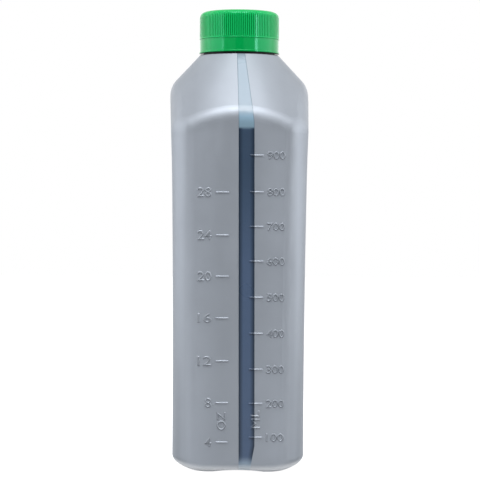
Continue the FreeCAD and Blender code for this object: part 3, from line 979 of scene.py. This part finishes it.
    def build(self, wall: Material, figure: Material, stripe: Material) -> None:
        """Make the marks on the face and those on the stripe.

        Args:
            wall: material of the body.
            figure: material of the figures on the body, darkened as painted shade.
            stripe: material of the view stripe.
        """
        finishes = {"ticks": wall, "figures": figure}
        for kind, bm in self.ounces().items():
            self.settle(bm)
            finished_piece(bm, f"ounce_{kind}", finishes[kind], Body.BOTTLE)
        for kind, on_wall in self.millilitres().items():
            self.settle(on_wall)
            on_stripe = on_wall.copy()
            self.side(on_wall, True)
            self.side(on_stripe, False)
            finished_piece(on_wall, f"millilitre_{kind}", finishes[kind], Body.BOTTLE)
            finished_piece(on_stripe, f"stripe_{kind}", stripe, Body.BOTTLE)


@dataclass
class ScrewThread:
    """One turned thread, standing out from a neck or in from a bore."""

    name: str
    root: float
    crest: float
    foot: float
    turns: float
    root_width: float = 1.9
    crest_width: float = 0.8
    # Six turns to the inch.
    pitch: float = 25.4 / 6
    start: float = 0.0
    steps_per_turn: int = 72
    # Degrees over which each end fades, and the share of the height that is left at the very end.
    run_out: float = 35.0
    end_share: float = 0.06

    def build(self, finish: Material, body: Body, slot: Slot) -> None:
        """Turn the thread's section round the axis while it climbs, and fade both ends.

        Args:
            finish: material of the thread.
            body: body that carries it.
            slot: the record's slot; not used.
        """
        bm = bmesh.new()
        corners = (
            (self.root, -self.root_width / 2),
            (self.crest, -self.crest_width / 2),
            (self.crest, self.crest_width / 2),
            (self.root, self.root_width / 2),
        )
        verts = [bm.verts.new((across * MM, 0, (self.foot + up) * MM)) for across, up in corners]
        section = bm.faces.new(verts)
        begin = Matrix.Rotation(math.radians(self.start), 4, "Z")
        bmesh.ops.transform(bm, matrix=begin, verts=verts)
        steps = round(self.turns * self.steps_per_turn)
        bmesh.ops.spin(
            bm,
            geom=[section, *section.edges, *verts],
            axis=(0, 0, 1),
            dvec=(0, 0, self.pitch * MM * self.turns / steps),
            angle=2 * math.pi * self.turns,
            steps=steps,
        )
        lay_face_up(bm)
        self.fade(bm)
        finished_piece(bm, self.name, finish, body)

    def fade(self, bm: BMesh) -> None:
        """Draw both ends of the thread back to its root.

        Args:
            bm: the thread.
        """
        whole = 360.0 * self.turns
        root = self.root * MM
        for vert in bm.verts:
            radius = math.hypot(vert.co.x, vert.co.y)
            along = (vert.co.z / MM - self.foot) / self.pitch * 360.0
            bearing = math.degrees(math.atan2(vert.co.y, vert.co.x)) - self.start
            along = bearing + 360.0 * round((along - bearing) / 360.0)
            share = min(1.0, max(0.0, min(along, whole - along) / self.run_out))
            eased = math.sin(share * math.pi / 2)
            wanted = root + (radius - root) * (self.end_share + (1.0 - self.end_share) * eased)
            vert.co.x *= wanted / radius
            vert.co.y *= wanted / radius


@dataclass
class RibbedCap:
    """The screw cap, with a small bead round its foot and ribs that fade out on the top's rounded edge."""

    bore: float = CLOSURE_BORE
    radius: float = 20.05
    foot: float = 213.7
    skirt_foot: float = 213.58
    # The skirt's foot drops a little between these two radii.
    foot_step: Pair = (19.62, 19.64)
    ceiling: float = 226.05
    top: float = 227.6
    edge_round: float = 3.3
    edge_step: int = 9
    # The bead that holds the wad: its radius, the height of its middle, half its flat and half its foot.
    wad_bead: float = 18.2
    wad_bead_at: float = 224.3
    wad_bead_flat: float = 0.25
    wad_bead_foot: float = 0.65
    # The bead round the foot: how far it stands out, and its points from its crest and the skirt's foot.
    bead_reach: float = 0.1
    bead_points: Pairs = ((-0.14, 0.0), (-0.04, 0.06), (0.0, 0.2), (-0.03, 0.36))
    bead_height: float = 0.46
    ribs: int = RIBS
    rib_depth: float = 0.25
    ribs_from: float = 214.3
    rib_end: float = 0.3
    rib_ring: float = 5.0
    # Degrees up the rounded edge between which the ribs fade.
    fade: Pair = (20.0, 50.0)
    steps_per_rib: int = 6
    groove_step: int = 3

    def outline(self) -> list[Pair]:
        """Half section of the cap without its ribs, from the ceiling round to the top.

        Returns:
            Pairs of a radius and a height.
        """
        low = self.skirt_foot
        inside = [
            (0, self.ceiling),
            (self.bore, self.ceiling),
            (self.bore, self.wad_bead_at + self.wad_bead_foot),
            (self.wad_bead, self.wad_bead_at + self.wad_bead_flat),
            (self.wad_bead, self.wad_bead_at - self.wad_bead_flat),
            (self.bore, self.wad_bead_at - self.wad_bead_foot),
            (self.bore, self.foot),
            (self.foot_step[0], self.foot),
            (self.foot_step[1], low),
        ]
        skirt = [
            *shifted(self.bead_points, self.radius + self.bead_reach, low),
            (self.radius, low + self.bead_height),
            (self.radius, self.ribs_from),
            (self.radius, self.ribs_from + self.rib_end),
            (self.radius, self.ribs_from + self.rib_ring),
        ]
        turns = [math.radians(turn) for turn in range(0, 91, self.edge_step)]
        arc = tuple((self.edge_round * math.cos(turn), self.edge_round * math.sin(turn)) for turn in turns)
        edge = shifted(arc, self.radius - self.edge_round, self.top - self.edge_round)
        return [*inside, *skirt, *edge, (self.radius / 2, self.top), (0, self.top)]

    def cut_ribs(self, bm: BMesh) -> None:
        """Draw a narrow groove in after each rib, less and less over the rounded edge.

        Args:
            bm: the turned cap.
        """
        centre = (self.radius - self.edge_round, self.top - self.edge_round)
        step = 2 * math.pi / (self.ribs * self.steps_per_rib)
        for vert in bm.verts:
            across, up = math.hypot(vert.co.x, vert.co.y) / MM, vert.co.z / MM
            column = round(math.atan2(vert.co.y, vert.co.x) / step) % self.steps_per_rib
            if column != self.groove_step or up < self.ribs_from + SLACK:
                continue
            out, rise = across - centre[0], max(0.0, up - centre[1])
            if math.hypot(out, rise) < self.edge_round - SLACK or out < SLACK:
                continue
            slope = math.atan2(rise, out)
            share = (math.degrees(slope) - self.fade[0]) / (self.fade[1] - self.fade[0])
            depth = self.rib_depth * (1.0 - min(1.0, max(0.0, share)))
            pulled = across - depth * math.cos(slope)
            vert.co.x *= pulled / across
            vert.co.y *= pulled / across
            vert.co.z -= depth * math.sin(slope) * MM

    def build(self, finish: Material) -> None:
        """Make the cap.

        Args:
            finish: its material.
        """
        bm = turned(self.outline(), self.ribs * self.steps_per_rib)
        self.cut_ribs(bm)
        bmesh.ops.recalc_face_normals(bm, faces=bm.faces)
        piece = finished_piece(bm, "ribbed_cap", finish, Body.CAP)
        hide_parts("screw_cap")


@dataclass
class TamperRing:
    """The tamper band: smooth outside, with a lip at its foot and a hook that holds it on the neck."""

    bore: float = CLOSURE_BORE
    foot: float = 206.5
    top: float = 213.55
    top_radius: float = 20.0
    waist_radius: float = 19.93
    lip_radius: float = 20.2
    lip_height: float = 0.9
    hook: float = 17.8
    # Heights above the foot: the hook's upper slope, and the bevel below it.
    hook_slope: Pair = (1.7, 2.5)
    hook_bevel: float = 0.3
    # Points of each rounded edge, from the lip's foot, the lip's top, the waist and the band's top.
    lip_foot_points: Pairs = ((-0.12, 0.0), (-0.03, 0.04), (0.0, 0.14))
    lip_top_points: Pairs = ((0.0, -0.25), (-0.06, -0.1))
    waist_points: Pairs = ((0.04, 0.02), (0.0, 0.2))
    top_points: Pairs = ((0.0, -0.12), (-0.03, -0.04), (-0.1, 0.0))
    steps: int = 160

    def build(self, finish: Material) -> None:
        """Make the band.

        Args:
            finish: its material.
        """
        lip_top = self.foot + self.lip_height
        outline = [
            (self.bore, self.top),
            (self.bore, self.foot + self.hook_slope[1]),
            (self.hook, self.foot + self.hook_slope[0]),
            (self.hook, self.foot + self.hook_bevel),
            (self.hook + self.hook_bevel, self.foot),
            *shifted(self.lip_foot_points, self.lip_radius, self.foot),
            *shifted(self.lip_top_points, self.lip_radius, lip_top),
            *shifted(self.waist_points, self.waist_radius, lip_top),
            *shifted(self.top_points, self.top_radius, self.top),
        ]
        bm = turned([*outline, outline[0]], self.steps)
        piece = finished_piece(bm, "tamper_ring", finish, Body.BAND)
        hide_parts("tamper_band")


@dataclass
class MouldSeams:
    """Ridges that the mould leaves: the parting line and the pinch-off scar under the base."""

    line: Pair = (-0.32, -0.02)
    line_rise: float = 0.07
    line_top: float = SLIT_FOOT
    front_top: float = 166.0
    scar: Pair = (-0.75, 0.35)
    scar_rise: float = 0.3
    scar_reach: float = 36.0
    scar_top: float = 1.2
    # Faces of the outer skin look away from this height on the axis, and less than this much sideways.
    middle: float = 110.0
    sideways: float = 0.9

    def skin(self, span: Pair) -> BMesh:
        """The outer skin of the body between two planes beside the stripe's left edge.

        Args:
            span: where the two planes are, from that edge.

        Returns:
            The skin's mesh.
        """
        bm = bmesh.new()
        for node in ("bottle_body", "view_stripe"):
            bm.from_mesh(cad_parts[node].data)
        bmesh.ops.remove_doubles(bm, verts=bm.verts, dist=MERGE * MM)
        for place, side in zip(span, (-1, 1)):
            self.trim(bm, ((STRIPE_LEFT + place) * MM, 0, STRIPE_FOOT * MM), (side, 0, side * STRIPE_LEAN))
        centre = Vector((0, 0, self.middle * MM))
        inner = [
            face for face in bm.faces
            if face.normal.dot(face.calc_center_median() - centre) < 0 or abs(face.normal.x) > self.sideways
        ]
        bmesh.ops.delete(bm, geom=inner, context="FACES")
        return bm

    def trim(self, bm: BMesh, place: Triple, direction: Triple) -> None:
        """Cut away what lies beyond a plane."""
        geometry = bm.verts[:] + bm.edges[:] + bm.faces[:]
        bmesh.ops.bisect_plane(bm, geom=geometry, plane_co=place, plane_no=direction, clear_outer=True)

    def raise_skin(self, bm: BMesh, rise: float) -> None:
        """Lift a skin off the surface and close its sides.

        Args:
            bm: the skin.
            rise: how far it is lifted.
        """
        lifted = bmesh.ops.extrude_face_region(bm, geom=bm.faces[:])["geom"]
        tops = [item for item in lifted if isinstance(item, bmesh.types.BMVert)]
        bm.normal_update()
        for vert, normal in [(vert, vert.normal.copy()) for vert in tops]:
            vert.co += normal * rise * MM
        bmesh.ops.recalc_face_normals(bm, faces=bm.faces)

    def build(self, finish: Material) -> None:
        """Make both ridges.

        Args:
            finish: material of the body.
        """
        parting = self.skin(self.line)
        self.trim(parting, (0, 0, self.line_top * MM), (0, 0, 1))
        beside = [
            face for face in parting.faces
            if face.calc_center_median().y < 0 and face.calc_center_median().z > self.front_top * MM
        ]
        bmesh.ops.delete(parting, geom=beside, context="FACES")
        self.raise_skin(parting, self.line_rise)
        finished_piece(parting, "parting_line", finish, Body.BOTTLE)
        scar = self.skin(self.scar)
        self.trim(scar, (0, 0, self.scar_top * MM), (0, 0, 1))
        for side in (-1, 1):
            self.trim(scar, (0, side * self.scar_reach * MM, 0), (0, side, 0))
        self.raise_skin(scar, self.scar_rise)
        finished_piece(scar, "pinch_off_scar", finish, Body.BOTTLE)


@dataclass
class Seals:
    """The foil over the mouth and the board wad that the cap carries."""

    land: Pair = (15.5, 17.45)
    foil_radius: float = 17.2
    foil_foot: float = 224.8
    foil_thick: float = 0.15
    # The foil's edge is rounded by this much across and down.
    foil_edge: Pair = (0.05, 0.03)
    # The sag starts this far inside the land, and a little further out on the upper side.
    foil_inset: float = 0.1
    foil_bend: float = 0.3
    foil_sag: float = 0.35
    # Share of the way out from the axis, and the shares of the sag there below and above.
    sag_line: tuple[Triple, ...] = ((0.6, 0.8, 0.85), (0.9, 0.35, 0.45))
    wad_radius: float = 18.6
    wad_foot: float = 225.0
    wad_thick: float = 1.0
    wad_bevel: float = 0.15
    imprint: float = 0.12
    imprint_slope: float = 0.35
    steps: int = 96

    def foil_outline(self) -> list[Pair]:
        """Half section of the foil.

        Returns:
            Pairs of a radius and a height.
        """
        foot, top = self.foil_foot, self.foil_foot + self.foil_thick
        inside = self.land[0] - self.foil_inset
        sag = self.foil_sag
        return [
            (0, foot - sag),
            *[(inside * out, foot - sag * below) for out, below, above in self.sag_line],
            (inside, foot),
            (self.foil_radius, foot),
            (self.foil_radius, top - self.foil_edge[1]),
            (self.foil_radius - self.foil_edge[0], top),
            (inside + self.foil_bend, top),
            *[(inside * out, top - sag * above) for out, below, above in reversed(self.sag_line)],
            (0, top - sag),
        ]

    def wad_outline(self) -> list[Pair]:
        """Half section of the wad, with the imprint of the land.

        Returns:
            Pairs of a radius and a height.
        """
        foot, top = self.wad_foot, self.wad_foot + self.wad_thick
        pressed = foot + self.imprint
        return [
            (0, foot),
            (self.land[0] - self.imprint_slope, foot),
            (self.land[0], pressed),
            (self.land[1], pressed),
            (self.land[1] + self.imprint_slope, foot),
            (self.wad_radius - self.wad_bevel, foot),
            (self.wad_radius, foot + self.wad_bevel),
            (self.wad_radius, top - self.wad_bevel),
            (self.wad_radius - self.wad_bevel, top),
            (0, top),
        ]

    def build(self, foil: Material, board: Material) -> None:
        """Make the foil and the wad.

        Args:
            foil: material of the foil.
            board: material of the wad.
        """
        sheet = turned(self.foil_outline(), self.steps)
        piece = finished_piece(sheet, "foil_cover", foil, Body.BOTTLE)
        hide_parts("foil_seal")
        wad = turned(self.wad_outline(), self.steps)
        piece = finished_piece(wad, "board_wad", board, Body.LINER)
        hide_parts("liner_wad")


@dataclass(frozen=True)
class Card:
    """A card that stands round the bottle and that only reflections show.

    Its lengths are in metres, and it is as bright as white paper at a level of one. The bearing is in
    degrees to the right of the camera, and the span holds the heights of the lower and the upper edge.
    """

    name: str
    half_width: float
    away: float
    level: float
    bearing: float = 0.0
    span: Pair = (0.0, 2.0)


@dataclass
class Studio:
    """White floor and surround, soft boxes, cards and the camera.

    Lengths are in metres here, but the lens, its sensor and the aim are in millimetres.
    """

    reach: float = 1.2
    eye_height: float = 0.1127
    bearing: float = -0.8
    # How far to the right of the axis the camera looks.
    aim: float = 0.96
    roll: float = 0.37
    lens: float = 178.2
    sensor: float = 36.0
    clip_end: float = 50.0
    fill: float = 0.36
    mirrored: float = 0.8
    floor_half: float = 6.0
    floor_grey: float = 0.38
    floor_seen: float = 0.95
    floor_mirrored: float = 0.35
    # The lights face this height on the axis.
    target_height: float = 0.11
    side_light: float = 1.4
    side_bearing: float = 88.0
    side_reach: float = 1.3
    side_height: float = 0.75
    side_size: Pair = (2.0, 1.5)
    top_light: float = 7.0
    top_place: Triple = (0.0, -0.55, 1.32)
    top_size: Pair = (0.9, 0.7)
    cards: tuple[Card, ...] = (
        Card("grey_card", 1.66, 1.5, 0.42),
        Card("flag_card", 1.62, 1.47, 0.06, span=(0.2, 0.6)),
        Card("dark_card", 0.3, 1.44, 0.0),
        Card("right_strip", 0.08, 1.2, 9.0, 50.5, (0.1, 0.7)),
        Card("left_strip", 0.06, 1.2, 4.0, -50.5, (0.1, 0.7)),
        Card("right_rear_card", 0.9, 1.2, 1.5, 145.0, (0.25, 0.6)),
        Card("left_rear_card", 0.9, 1.2, 1.5, -145.0, (0.25, 0.6)),
    )

    def floor(self) -> None:
        """Lay a wide white floor that keeps the soft shadow."""
        shader = Shader("white_floor")
        shader.set(Roughness=0.9, Specular_IOR_Level=0.1)
        shader.set(Base_Color=(*(self.floor_grey,) * 3, 1.0), Emission_Color=(1.0, 1.0, 1.0, 1.0))
        rays = shader.add("ShaderNodeLightPath").outputs
        mirrored = shader.math("MAXIMUM", rays["Is Glossy Ray"], rays["Is Transmission Ray"])
        seen = shader.product(rays["Is Camera Ray"], self.floor_seen)
        glow = shader.math("MAXIMUM", seen, shader.product(mirrored, self.floor_mirrored))
        shader.feed(Emission_Strength=glow)
        bm = bmesh.new()
        bmesh.ops.create_grid(bm, x_segments=8, y_segments=8, size=self.floor_half)
        floor = placed(bm, "floor", shader.material)

    def larger(self, tree: bpy.types.NodeTree, first: Socket, second: Socket) -> Socket:
        """The larger of two values.

        Args:
            tree: node tree that takes the sum.
            first: socket of the first value.
            second: socket of the second value.

        Returns:
            The socket of the result.
        """
        node = tree.nodes.new("ShaderNodeMath")
        node.operation = "MAXIMUM"
        tree.links.new(first, node.inputs[0])
        tree.links.new(second, node.inputs[1])
        return node.outputs["Value"]

    def surround(self) -> None:
        """White world: full white where it is seen, dimmer where it lights."""
        world = bpy.data.worlds.new("white_surround")
        bpy.context.scene.world = world
        world.use_nodes = True
        tree = world.node_tree
        back = tree.nodes["Background"]
        back.inputs["Color"].default_value = (1.0, 1.0, 1.0, 1.0)
        rays = tree.nodes.new("ShaderNodeLightPath").outputs
        level = tree.nodes.new("ShaderNodeMapRange")
        level.inputs["To Min"].default_value = self.fill
        level.inputs["To Max"].default_value = self.mirrored
        mirrored = self.larger(tree, rays["Is Glossy Ray"], rays["Is Transmission Ray"])
        tree.links.new(mirrored, level.inputs["Value"])
        seen = self.larger(tree, rays["Is Camera Ray"], level.outputs["Result"])
        tree.links.new(seen, back.inputs["Strength"])

    def soft_box(self, name: str, place: Vector, size: Pair, level: float) -> None:
        """Hang a rectangular light that faces the bottle.

        Args:
            name: name of the light.
            place: where it hangs.
            size: its width and height.
            level: its brightness, where white paper is one.
        """
        lamp = bpy.data.lights.new(name, "AREA")
        lamp.shape = "RECTANGLE"
        lamp.size, lamp.size_y = size
        lamp.energy = level * math.pi * size[0] * size[1]
        carrier = bpy.data.objects.new(name, lamp)
        bpy.context.scene.collection.objects.link(carrier)
        carrier.location = place
        target = Vector((0, 0, self.target_height))
        carrier.rotation_euler = (target - place).to_track_quat("-Z", "Y").to_euler()

    def stand_card(self, plan: Card) -> None:
        """Stand a card in its place.

        Args:
            plan: the card's sizes, place and brightness.
        """
        shader = Shader(plan.name)
        shader.set(Base_Color=(0.0, 0.0, 0.0, 1.0), Roughness=1.0, Specular_IOR_Level=0.0)
        shader.set(Emission_Color=(1.0, 1.0, 1.0, 1.0), Emission_Strength=plan.level)
        low, high = plan.span
        bm = bmesh.new()
        bmesh.ops.create_grid(bm, x_segments=4, y_segments=4, size=1.0)
        bmesh.ops.scale(bm, verts=bm.verts, vec=(plan.half_width, (high - low) / 2, 1.0))
        stand = (
            Matrix.Rotation(math.radians(plan.bearing), 4, "Z")
            @ Matrix.Translation((0, -plan.away, (low + high) / 2))
            @ Matrix.Rotation(math.radians(90.0), 4, "X")
        )
        bmesh.ops.transform(bm, matrix=stand, verts=bm.verts)
        card = placed(bm, plan.name, shader.material)
        card.visible_camera = False
        card.visible_diffuse = False
        card.visible_shadow = False

    def camera(self) -> None:
        """Place the camera level, square to the narrow side and a long way off."""
        lens = bpy.data.cameras.new("camera")
        lens.lens = self.lens
        lens.sensor_width = self.sensor
        lens.sensor_fit = "HORIZONTAL"
        lens.clip_end = self.clip_end
        carrier = bpy.data.objects.new("camera", lens)
        bpy.context.scene.collection.objects.link(carrier)
        turn = math.radians(self.bearing)
        place = Vector((self.reach * math.sin(turn), -self.reach * math.cos(turn), self.eye_height))
        target = Vector((self.aim * MM, 0, self.eye_height))
        facing = (target - place).to_track_quat("-Z", "Y").to_matrix().to_4x4()
        carrier.matrix_world = (
            Matrix.Translation(place) @ facing @ Matrix.Rotation(math.radians(self.roll), 4, "Z")
        )
        bpy.context.scene.camera = carrier

    def build(self) -> None:
        """Set the scene round the bottle."""
        bpy.context.scene.view_settings.view_transform = "Standard"
        self.floor()
        self.surround()
        turn = math.radians(self.side_bearing)
        across, ahead = self.side_reach * math.sin(turn), -self.side_reach * math.cos(turn)
        for name, side in (("left_soft_box", -1), ("right_soft_box", 1)):
            place = Vector((side * across, ahead, self.side_height))
            self.soft_box(name, place, self.side_size, self.side_light)
        self.soft_box("top_soft_box", Vector(self.top_place), self.top_size, self.top_light)
        for plan in self.cards:
            self.stand_card(plan)
        self.camera()


BODY_PLASTIC = WallPlastic(
    name="body_plastic",
    colour=(0.366, 0.402, 0.458),
    cloud=(0.388, 0.426, 0.484),
    gloss=(0.43, 0.50),
    metallic=0.45,
    grain=0.012,
)
# The raised figures get a darker copy of the wall's plastic, as painted shade.
SHADED_FIGURE_PLASTIC = MouldedPlastic(
    name="figure_plastic_shaded",
    colour=(0.252, 0.277, 0.315),
    cloud=(0.267, 0.293, 0.333),
    gloss=(0.43, 0.50),
    metallic=0.45,
    grain=0.012,
)
GREEN_GLINT = (0.34, 1.0, 0.85)
CAP_PLASTIC = RibbedPlastic(
    name="cap_plastic",
    colour=(0.001, 0.410, 0.090),
    cloud=(0.002, 0.435, 0.102),
    gloss=(0.10, 0.15),
    metallic=0.0,
    grain=0.006,
    specular=0.38,
    highlight=GREEN_GLINT,
)
# The band's plastic is a darker copy of the cap's plastic, as painted shade, and its slit reach paints
# shade on the band's underside.
SHADED_BAND_PLASTIC = MouldedPlastic(
    name="band_plastic_shaded",
    colour=(0.001, 0.325, 0.066),
    cloud=(0.002, 0.345, 0.074),
    gloss=(0.08, 0.12),
    metallic=0.0,
    grain=0.004,
    specular=0.48,
    slit=(20.12, 206.65),
    highlight=GREEN_GLINT,
)
NECK_THREAD = ScrewThread("neck_thread", root=17.4, crest=18.7, foot=215.4, turns=1.75)
CAP_THREAD = ScrewThread("cap_thread", root=18.9, crest=17.75, foot=214.9, turns=1.75, start=140.0)


def main() -> None:
    """Dress the frame, make the fine pieces and set the scene."""
    wall = BODY_PLASTIC.material()
    stripe = StripePlastic().material()
    green = CAP_PLASTIC.material()
    band = SHADED_BAND_PLASTIC.material()
    foil = SealFoil().material()
    board = PulpBoard().material()
    finishes = {
        "bottle_body": wall,
        "view_stripe": stripe,
        "oil_fill": MotorOil().material(),
        "foil_seal": foil,
        "liner_wad": board,
        "screw_cap": green,
        "tamper_band": band,
        "break_bridges": band,
    }
    for node, finish in finishes.items():
        dress(node, finish)
    Graduations().build(wall, SHADED_FIGURE_PLASTIC.material(), stripe)
    NECK_THREAD.build(wall, Body.BOTTLE, Slot.BODY)
    CAP_THREAD.build(green, Body.CAP, Slot.CAP)
    RibbedCap().build(green)
    TamperRing().build(band)
    MouldSeams().build(wall)
    Seals().build(foil, board)
    Studio().build()


if __name__ == "__main__":
    main()
